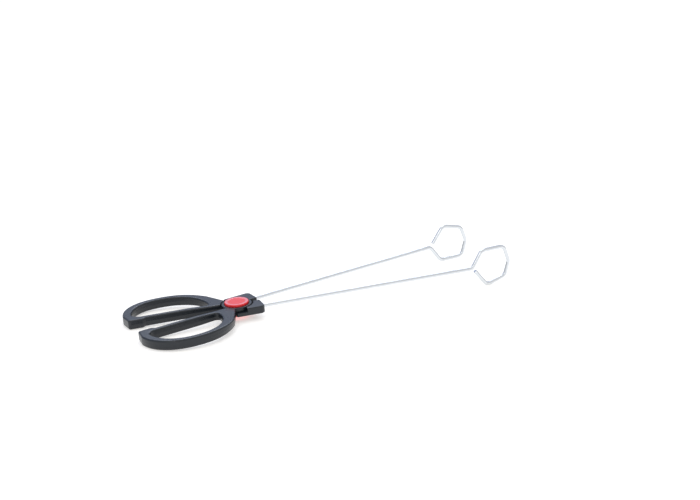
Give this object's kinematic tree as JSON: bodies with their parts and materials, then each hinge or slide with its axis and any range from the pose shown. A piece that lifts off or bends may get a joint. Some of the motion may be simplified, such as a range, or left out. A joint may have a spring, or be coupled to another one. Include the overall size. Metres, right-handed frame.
{
  "type": "scissor tongs",
  "caption": "Long scissor-action tongs with plastic finger loops, a sprung pivot under flat caps and bent wire arms ending in open jaw loops.",
  "frame": {"origin": "centre of the lower cap's flat face, on the pivot axis", "axes": "+X from the pivot towards the jaws along the tongs' centre line, +Z along the pivot axis towards the upper cap, +Y to the lower half's finger loop"},
  "size_m": [0.3984, 0.1268, 0.0444],
  "materials": {
    "black_plastic": "moulded, satin",
    "red_plastic": "moulded, glossy",
    "chromed_wire": "bright chrome plate on steel wire",
    "zinc_steel": "zinc plated",
    "spring_steel": "drawn spring wire"
  },
  "bodies": {
    "lower_half": {"lower_handle": "black_plastic", "lower_arm": "chromed_wire", "lower_cap": "red_plastic", "lower_washer": "zinc_steel", "pivot_rivet": "zinc_steel", "pivot_spacer": "zinc_steel", "torsion_spring": "spring_steel"},
    "upper_half": {"upper_handle": "black_plastic", "upper_arm": "chromed_wire", "upper_cap": "red_plastic", "upper_washer": "zinc_steel"}
  },
  "joints": [
    {"name": "pivot", "type": "hinge", "parent": "lower_half", "child": "upper_half", "pos_m": [0, 0, 0.0064], "axis": [0, 0, 1], "range_deg": [-16.4, 0], "stiffness_Nm_per_rad": 0.08, "springref_deg": 57.3, "deforming": ["torsion_spring"]}
  ]
}
